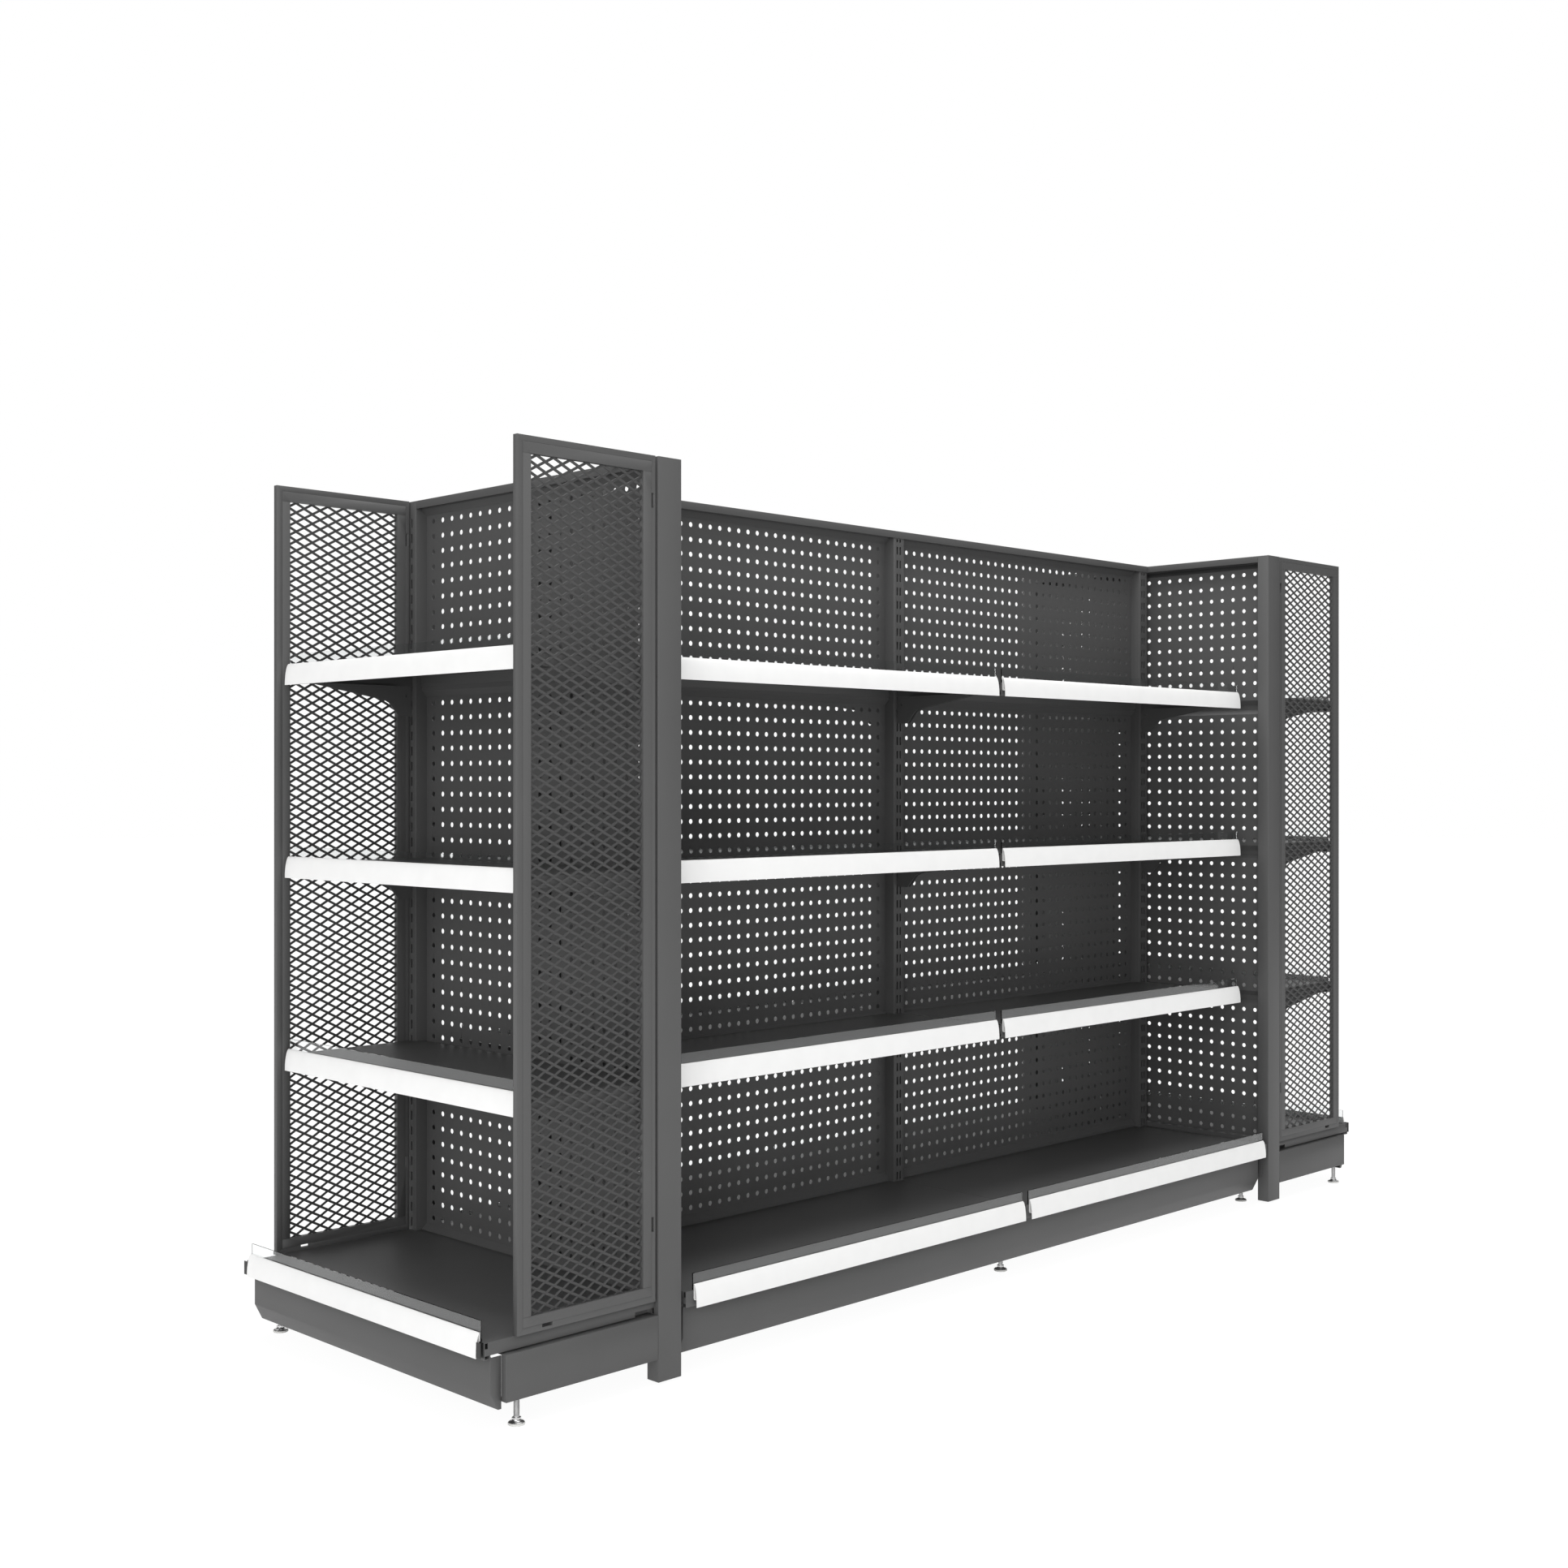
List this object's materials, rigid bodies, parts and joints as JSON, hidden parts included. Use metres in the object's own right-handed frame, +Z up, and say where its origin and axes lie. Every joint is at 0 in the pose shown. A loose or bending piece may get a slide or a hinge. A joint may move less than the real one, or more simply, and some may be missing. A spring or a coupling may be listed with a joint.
{
  "type": "gondola shelving unit",
  "caption": "Double-sided gondola shelving unit: perforated back walls, hooked metal shelves with price strips and fences, base decks, mesh-sided end caps and levelling feet.",
  "frame": {"origin": "on the floor, under the middle of the unit", "axes": "+X along the run of two bays, +Y from the front side to the rear side, +Z up"},
  "size_m": [2.6262, 0.7392, 1.51],
  "materials": {
    "powder_coat": "dark grey powder coat with a fine satin grain",
    "zinc": "bright zinc plate"
  },
  "bodies": {
    "frame": {"upright_left": "powder_coat", "upright_centre": "powder_coat", "upright_right": "powder_coat", "corner_post_front_left": "powder_coat", "corner_post_front_right": "powder_coat", "corner_post_rear_left": "powder_coat", "corner_post_rear_right": "powder_coat", "top_rail_left_bay": "powder_coat", "top_rail_right_bay": "powder_coat", "top_rail_left_end": "powder_coat", "top_rail_right_end": "powder_coat", "peg_panels_left_bay": "powder_coat", "peg_panels_right_bay": "powder_coat", "peg_panels_left_end": "powder_coat", "peg_panels_right_end": "powder_coat", "mesh_panel_front_left": "powder_coat", "mesh_panel_front_right": "powder_coat", "mesh_panel_rear_left": "powder_coat", "mesh_panel_rear_right": "powder_coat", "base_deck_front_left": "powder_coat", "base_deck_front_right": "powder_coat", "base_deck_rear_left": "powder_coat", "base_deck_rear_right": "powder_coat", "base_deck_left_end": "powder_coat", "base_deck_right_end": "powder_coat", "kick_plate_front": "powder_coat", "kick_plate_rear": "powder_coat", "kick_plate_left_end": "powder_coat", "kick_plate_right_end": "powder_coat", "leg_brackets": "powder_coat", "base_side_plates": "powder_coat", "end_wall_sills": "powder_coat"},
    "shelf_front_left_low": {"shelf_front_left_low": "powder_coat"},
    "shelf_front_left_mid": {"shelf_front_left_mid": "powder_coat"},
    "shelf_front_left_top": {"shelf_front_left_top": "powder_coat"},
    "shelf_front_right_low": {"shelf_front_right_low": "powder_coat"},
    "shelf_front_right_mid": {"shelf_front_right_mid": "powder_coat"},
    "shelf_front_right_top": {"shelf_front_right_top": "powder_coat"},
    "shelf_rear_left_low": {"shelf_rear_left_low": "powder_coat"},
    "shelf_rear_left_mid": {"shelf_rear_left_mid": "powder_coat"},
    "shelf_rear_left_top": {"shelf_rear_left_top": "powder_coat"},
    "shelf_rear_right_low": {"shelf_rear_right_low": "powder_coat"},
    "shelf_rear_right_mid": {"shelf_rear_right_mid": "powder_coat"},
    "shelf_rear_right_top": {"shelf_rear_right_top": "powder_coat"},
    "shelf_left_end_low": {"shelf_left_end_low": "powder_coat"},
    "shelf_left_end_mid": {"shelf_left_end_mid": "powder_coat"},
    "shelf_left_end_top": {"shelf_left_end_top": "powder_coat"},
    "shelf_right_end_low": {"shelf_right_end_low": "powder_coat"},
    "shelf_right_end_mid": {"shelf_right_end_mid": "powder_coat"},
    "shelf_right_end_top": {"shelf_right_end_top": "powder_coat"},
    "foot_front_left": {"foot_front_left": "zinc"},
    "foot_front_centre": {"foot_front_centre": "zinc"},
    "foot_front_right": {"foot_front_right": "zinc"},
    "foot_rear_left": {"foot_rear_left": "zinc"},
    "foot_rear_centre": {"foot_rear_centre": "zinc"},
    "foot_rear_right": {"foot_rear_right": "zinc"},
    "foot_left_end_front": {"foot_left_end_front": "zinc"},
    "foot_left_end_rear": {"foot_left_end_rear": "zinc"},
    "foot_right_end_front": {"foot_right_end_front": "zinc"},
    "foot_right_end_rear": {"foot_right_end_rear": "zinc"}
  },
  "joints": [
    {"name": "lift_shelf_front_left_low", "type": "slide", "parent": "frame", "child": "shelf_front_left_low", "axis": [0, 0, 1], "range_m": [0, 0.0075]},
    {"name": "lift_shelf_front_left_mid", "type": "slide", "parent": "frame", "child": "shelf_front_left_mid", "axis": [0, 0, 1], "range_m": [0, 0.0075]},
    {"name": "lift_shelf_front_left_top", "type": "slide", "parent": "frame", "child": "shelf_front_left_top", "axis": [0, 0, 1], "range_m": [0, 0.0075]},
    {"name": "lift_shelf_front_right_low", "type": "slide", "parent": "frame", "child": "shelf_front_right_low", "axis": [0, 0, 1], "range_m": [0, 0.0075]},
    {"name": "lift_shelf_front_right_mid", "type": "slide", "parent": "frame", "child": "shelf_front_right_mid", "axis": [0, 0, 1], "range_m": [0, 0.0075]},
    {"name": "lift_shelf_front_right_top", "type": "slide", "parent": "frame", "child": "shelf_front_right_top", "axis": [0, 0, 1], "range_m": [0, 0.0075]},
    {"name": "lift_shelf_rear_left_low", "type": "slide", "parent": "frame", "child": "shelf_rear_left_low", "axis": [0, 0, 1], "range_m": [0, 0.0075]},
    {"name": "lift_shelf_rear_left_mid", "type": "slide", "parent": "frame", "child": "shelf_rear_left_mid", "axis": [0, 0, 1], "range_m": [0, 0.0075]},
    {"name": "lift_shelf_rear_left_top", "type": "slide", "parent": "frame", "child": "shelf_rear_left_top", "axis": [0, 0, 1], "range_m": [0, 0.0075]},
    {"name": "lift_shelf_rear_right_low", "type": "slide", "parent": "frame", "child": "shelf_rear_right_low", "axis": [0, 0, 1], "range_m": [0, 0.0075]},
    {"name": "lift_shelf_rear_right_mid", "type": "slide", "parent": "frame", "child": "shelf_rear_right_mid", "axis": [0, 0, 1], "range_m": [0, 0.0075]},
    {"name": "lift_shelf_rear_right_top", "type": "slide", "parent": "frame", "child": "shelf_rear_right_top", "axis": [0, 0, 1], "range_m": [0, 0.0075]},
    {"name": "lift_shelf_left_end_low", "type": "slide", "parent": "frame", "child": "shelf_left_end_low", "axis": [0, 0, 1], "range_m": [0, 0.0075]},
    {"name": "lift_shelf_left_end_mid", "type": "slide", "parent": "frame", "child": "shelf_left_end_mid", "axis": [0, 0, 1], "range_m": [0, 0.0075]},
    {"name": "lift_shelf_left_end_top", "type": "slide", "parent": "frame", "child": "shelf_left_end_top", "axis": [0, 0, 1], "range_m": [0, 0.0075]},
    {"name": "lift_shelf_right_end_low", "type": "slide", "parent": "frame", "child": "shelf_right_end_low", "axis": [0, 0, 1], "range_m": [0, 0.0075]},
    {"name": "lift_shelf_right_end_mid", "type": "slide", "parent": "frame", "child": "shelf_right_end_mid", "axis": [0, 0, 1], "range_m": [0, 0.0075]},
    {"name": "lift_shelf_right_end_top", "type": "slide", "parent": "frame", "child": "shelf_right_end_top", "axis": [0, 0, 1], "range_m": [0, 0.0075]},
    {"name": "extend_foot_front_left", "type": "slide", "parent": "frame", "child": "foot_front_left", "axis": [0, 0, -1], "range_m": [-0.0035, 0.02]},
    {"name": "extend_foot_front_centre", "type": "slide", "parent": "frame", "child": "foot_front_centre", "axis": [0, 0, -1], "range_m": [-0.0035, 0.02]},
    {"name": "extend_foot_front_right", "type": "slide", "parent": "frame", "child": "foot_front_right", "axis": [0, 0, -1], "range_m": [-0.0035, 0.02]},
    {"name": "extend_foot_rear_left", "type": "slide", "parent": "frame", "child": "foot_rear_left", "axis": [0, 0, -1], "range_m": [-0.0035, 0.02]},
    {"name": "extend_foot_rear_centre", "type": "slide", "parent": "frame", "child": "foot_rear_centre", "axis": [0, 0, -1], "range_m": [-0.0035, 0.02]},
    {"name": "extend_foot_rear_right", "type": "slide", "parent": "frame", "child": "foot_rear_right", "axis": [0, 0, -1], "range_m": [-0.0035, 0.02]},
    {"name": "extend_foot_left_end_front", "type": "slide", "parent": "frame", "child": "foot_left_end_front", "axis": [0, 0, -1], "range_m": [-0.0035, 0.02]},
    {"name": "extend_foot_left_end_rear", "type": "slide", "parent": "frame", "child": "foot_left_end_rear", "axis": [0, 0, -1], "range_m": [-0.0035, 0.02]},
    {"name": "extend_foot_right_end_front", "type": "slide", "parent": "frame", "child": "foot_right_end_front", "axis": [0, 0, -1], "range_m": [-0.0035, 0.02]},
    {"name": "extend_foot_right_end_rear", "type": "slide", "parent": "frame", "child": "foot_right_end_rear", "axis": [0, 0, -1], "range_m": [-0.0035, 0.02]}
  ]
}
